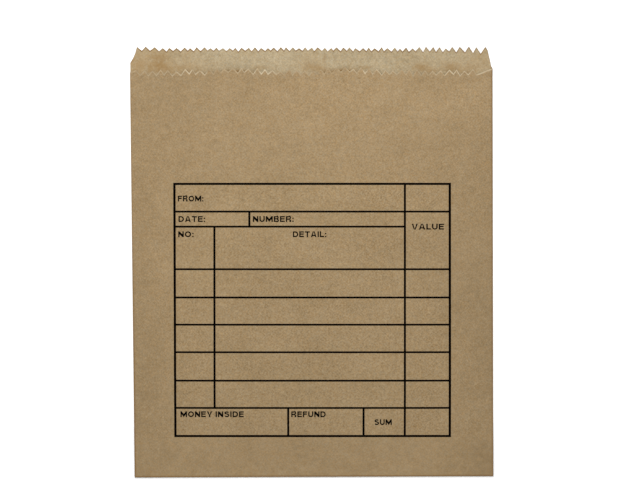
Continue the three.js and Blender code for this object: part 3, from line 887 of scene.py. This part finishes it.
GLYPHS = {  # width and strokes of each letter
    "A": (0.96, [leg(0, 0.48), leg(0.96, 0.48), bar(0.24, 0.72, 0.30)]),
    "B": (0.82, [
        stem(HALF), bar(PEN, 0.5, 1 - HALF), bar(PEN, 0.5, 0.53), bar(PEN, 0.5, HALF),
        bowl(0.5, 0.765, 0.28, 0.235 + HALF, 90, -90),
        bowl(0.5, 0.265, 0.32, 0.265 + HALF / 2, 90, -90),
    ]),
    "D": (0.90, [
        stem(HALF), bar(PEN, 0.42, 1 - HALF), bar(PEN, 0.42, HALF),
        bowl(0.42, 0.5, 0.48, 0.5, 90, -90),
    ]),
    "E": (0.78, [
        stem(HALF), bar(PEN, 0.78, 1 - HALF), bar(PEN, 0.74, 0.53), bar(PEN, 0.78, HALF),
    ]),
    "F": (0.74, [stem(HALF), bar(PEN, 0.74, 1 - HALF), bar(PEN, 0.68, 0.53)]),
    "I": (PEN, [stem(HALF)]),
    "L": (0.70, [stem(HALF), bar(PEN, 0.70, HALF)]),
    "M": (1.12, [
        stem(HALF), stem(1.12 - HALF),
        slope(PEN, 1, 0.56, 0, 0.8), slope(0.56, 0, 1.12 - PEN, 1, 0.8),
    ]),
    "N": (0.88, [stem(HALF), stem(0.88 - HALF), slope(PEN, 1, 0.88 - PEN, 0)]),
    "O": (1.00, [bowl(0.5, 0.5, 0.5, 0.5, 0, 360)]),
    "R": (0.86, [
        stem(HALF), bar(PEN, 0.52, 1 - HALF), bar(PEN, 0.52, 0.48),
        bowl(0.52, 0.74, 0.30, 0.26 + HALF, 90, -90), leg(0.86, 0.55, 0, 0.48 - HALF, 1.0),
    ]),
    "S": (0.84, [
        bowl(0.42, 0.735, 0.40, 0.265, 20, 270),
        bowl(0.42, 0.265 + HALF / 2, 0.42, 0.265 + HALF / 2, 90, -160),
    ]),
    "T": (0.84, [bar(0, 0.84, 1 - HALF), stem(0.42, 0, 1 - PEN)]),
    "U": (0.86, [
        stem(HALF, 0.4), stem(0.86 - HALF, 0.4), bowl(0.43, 0.4, 0.43, 0.4, 180, 360),
    ]),
    "V": (0.92, [leg(0, 0.46, 1, 0), leg(0.92, 0.46, 1, 0)]),
    "Y": (0.92, [stem(0.46, 0, 0.42), leg(0, 0.46, 1, 0.42), leg(0.92, 0.46, 1, 0.42)]),
    ":": (PEN, [bar(0, PEN, HALF), bar(0, PEN, 0.62)]),
    " ": (0.22, []),
}
LETTER_GAP = 0.17
CAP_HEIGHT = 3.2
LABELS = (  # word, left end, height of its foot, width
    ("FROM:", -74.1, 152.3, 14.2),
    ("DATE:", -73.8, 141.0, 14.8),
    ("NUMBER:", -32.5, 141.0, 22.5),
    ("NO:", -74.0, 132.6, 8.6),
    ("DETAIL:", -10.4, 132.6, 18.4),
    ("VALUE", 55.2, 136.8, 17.8),
    ("MONEY INSIDE", -73.1, 33.2, 35.5),
    ("REFUND", -11.3, 33.2, 19.0),
    ("SUM", 34.6, 28.8, 9.6),
)


def make_label(word, left, foot, width):
    """One heading of the form, its letters stretched to the given width."""
    letters = [GLYPHS[letter] for letter in word]
    starts = np.cumsum([0] + [wide + LETTER_GAP for wide, _ in letters])
    stretch = width / (starts[-1] - LETTER_GAP)
    sheets = []
    for start, (_, strokes) in zip(starts, letters):
        for middle, across in strokes:
            both = np.stack([middle - across, middle + across], 1)
            x = left + stretch * (start + both[..., 0])
            h = foot + CAP_HEIGHT * both[..., 1]
            sheets.append((on_front(x, h), {"web": web_map(x, h)}))
    name = "label_" + word.replace(":", "").replace(" ", "_").lower()
    return build(name, sheets, [INK], INK_THICKNESS)


def assemble():
    body = make_body()
    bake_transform(body)
    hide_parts("front_panel", "back_panel_left", "back_panel_right")
    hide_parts("left_side_fold", "right_side_fold", "bottom_fold", "bottom_fold_inner")
    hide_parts("bottom_flap_outer", "bottom_flap_inner")
    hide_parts("back_seam_paste", "band_seam_paste", "bottom_paste")

    mouth, share = make_mouth()
    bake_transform(mouth)
    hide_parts("front_band", "back_band_left", "back_band_right", "mouth_flap")
    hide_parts("left_side_fold_band", "right_side_fold_band")

    lip = make_lip()
    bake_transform(lip)
    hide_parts("lip_left", "lip_right", "lip_seam_paste")

    rules = make_rules()
    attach(rules, "lower_bag")
    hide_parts("printed_form")
    for label in LABELS:
        word = make_label(*label)
        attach(word, "lower_bag")


# ---- floor, light and camera, in metres ----------------------------------------------------------
KEY = {"size": 0.5, "power": 5.6, "place": (-0.18, 0.52, 0.74)}  # low and beyond the mouth
FILL = {"size": 1.2, "power": 1.5, "place": (0.5, 0.1, 1.4)}
SKY = 0.72
FLOOR_REACH, FLOOR_WHITE = 6, (0.97, 0.97, 0.97, 1)
LENS, SENSOR = 200, 36
VIEW_WIDTH = 0.3414  # of what the camera sees at the bag
VIEW_MIDDLE = (-0.0018, 0.0112)


def light(name, size, power, place):
    """A round lamp that faces the bag."""
    data = bpy.data.lights.new(name, "AREA")
    data.shape, data.size, data.energy = "DISK", size, power
    lamp = bpy.data.objects.new(name, data)
    lamp.location = place
    bpy.context.scene.collection.objects.link(lamp)
    lamp.rotation_euler = (-lamp.location).to_track_quat("-Z", "Y").to_euler()


def studio():
    world = bpy.data.worlds.new("studio")
    bpy.context.scene.world = world
    world.use_nodes = True
    background = world.node_tree.nodes["Background"]
    background.inputs["Color"].default_value = (1, 1, 1, 1)
    background.inputs["Strength"].default_value = SKY
    light("key", **KEY)
    light("fill", **FILL)

    mesh = bpy.data.meshes.new("floor")
    far = FLOOR_REACH
    corners = [(-far, -far, 0), (far, -far, 0), (far, far, 0), (-far, far, 0)]
    mesh.from_pydata(corners, [], [(0, 1, 2, 3)])
    floor = bpy.data.objects.new("floor", mesh)
    bpy.context.scene.collection.objects.link(floor)
    white = Nodes("white_floor", 0.9, 0.1)
    white.colour(FLOOR_WHITE)
    mesh.materials.append(white.material)
    bpy.context.scene.view_settings.view_transform = "Standard"


def camera():
    """Straight above the bag."""
    data = bpy.data.cameras.new("camera")
    data.lens, data.sensor_width = LENS, SENSOR
    eye = bpy.data.objects.new("camera", data)
    eye.location = (*VIEW_MIDDLE, VIEW_WIDTH * LENS / SENSOR)
    bpy.context.scene.collection.objects.link(eye)
    bpy.context.scene.camera = eye


camera()
studio()
assemble()
